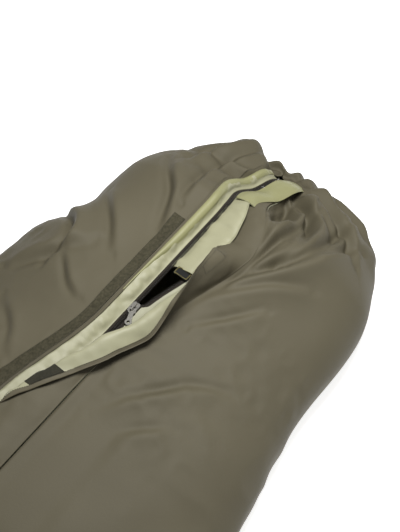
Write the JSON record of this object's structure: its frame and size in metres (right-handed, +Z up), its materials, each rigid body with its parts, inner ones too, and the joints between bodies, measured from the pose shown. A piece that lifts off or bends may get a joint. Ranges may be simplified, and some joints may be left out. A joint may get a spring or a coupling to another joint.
{
  "type": "bivy sack",
  "caption": "Hooded bivy sack lying flat, with a lengthwise zip partly open, a storm flap with hook-and-loop closure and a pale lining.",
  "frame": {"origin": "centre of the sack's footprint, on the flat underside of the base panel", "axes": "+X towards the head end, +Y towards the wearer's right (loop strip side), +Z up; the zip runs along X over y = 0"},
  "size_m": [2.25, 0.66, 0.236],
  "materials": {
    "shell_fabric": "matte laminated plain weave",
    "base_fabric": "matte coated plain weave",
    "lining_fabric": "smooth pale green laminate backing",
    "lining_warm": "smooth yellow-green laminate backing",
    "loop_tape": "fuzzy loop pile",
    "hook_tape": "stiff woven hook tape",
    "seam_tape": "sealed seam tape",
    "zip_fabric": "ribbed woven zip tape",
    "zip_coil": "satin moulded coil",
    "label_weave": "blank woven label",
    "nickel": "worn bright nickel plating"
  },
  "bodies": {
    "sack": {"base_panel": "base_fabric", "top_panel_left": "shell_fabric", "top_panel_right": "shell_fabric", "foot_panel": "shell_fabric", "hood_end_panel": "shell_fabric", "side_seam_tape": "seam_tape", "center_seam_tape": "seam_tape", "right_placket": "lining_fabric", "right_edge_hem": "shell_fabric", "left_facing": "lining_fabric", "loop_strip": "loop_tape", "zip_tape_left": "zip_fabric", "zip_tape_right": "zip_fabric", "zip_coil_left": "zip_coil", "zip_coil_right": "zip_coil", "zip_bottom_stop": "nickel", "zip_top_stops": "nickel", "draft_baffle": "lining_fabric", "baffle_corner": "lining_warm", "woven_label": "label_weave", "flap_upper": "shell_fabric", "upper_hook_patch": "hook_tape"},
    "zip_slider": {"slider_body": "nickel"},
    "pull_tab": {"pull_tab": "nickel"},
    "inner_pull_tab": {"inner_pull_tab": "nickel"},
    "storm_flap": {"flap_outer": "shell_fabric", "flap_lining": "lining_fabric", "flap_hem": "shell_fabric", "hook_patches": "hook_tape"}
  },
  "joints": [
    {"name": "zip_travel", "type": "slide", "parent": "sack", "child": "zip_slider", "axis": [1, 0, 0], "range_m": [-0.78, 0.07]},
    {"name": "pull_tab_swing", "type": "hinge", "parent": "zip_slider", "child": "pull_tab", "pos_m": [0.69, 0, 0.1708], "axis": [-0.3746, 0.9272, 0], "range_deg": [0, 175]},
    {"name": "inner_pull_tab_swing", "type": "hinge", "parent": "zip_slider", "child": "inner_pull_tab", "pos_m": [0.69, 0, 0.1612], "axis": [0, 1, 0], "range_deg": [-80, 80]},
    {"name": "storm_flap_open", "type": "hinge", "parent": "sack", "child": "storm_flap", "pos_m": [0, -0.022, 0.18], "axis": [1, 0, 0], "range_deg": [0, 150]}
  ]
}
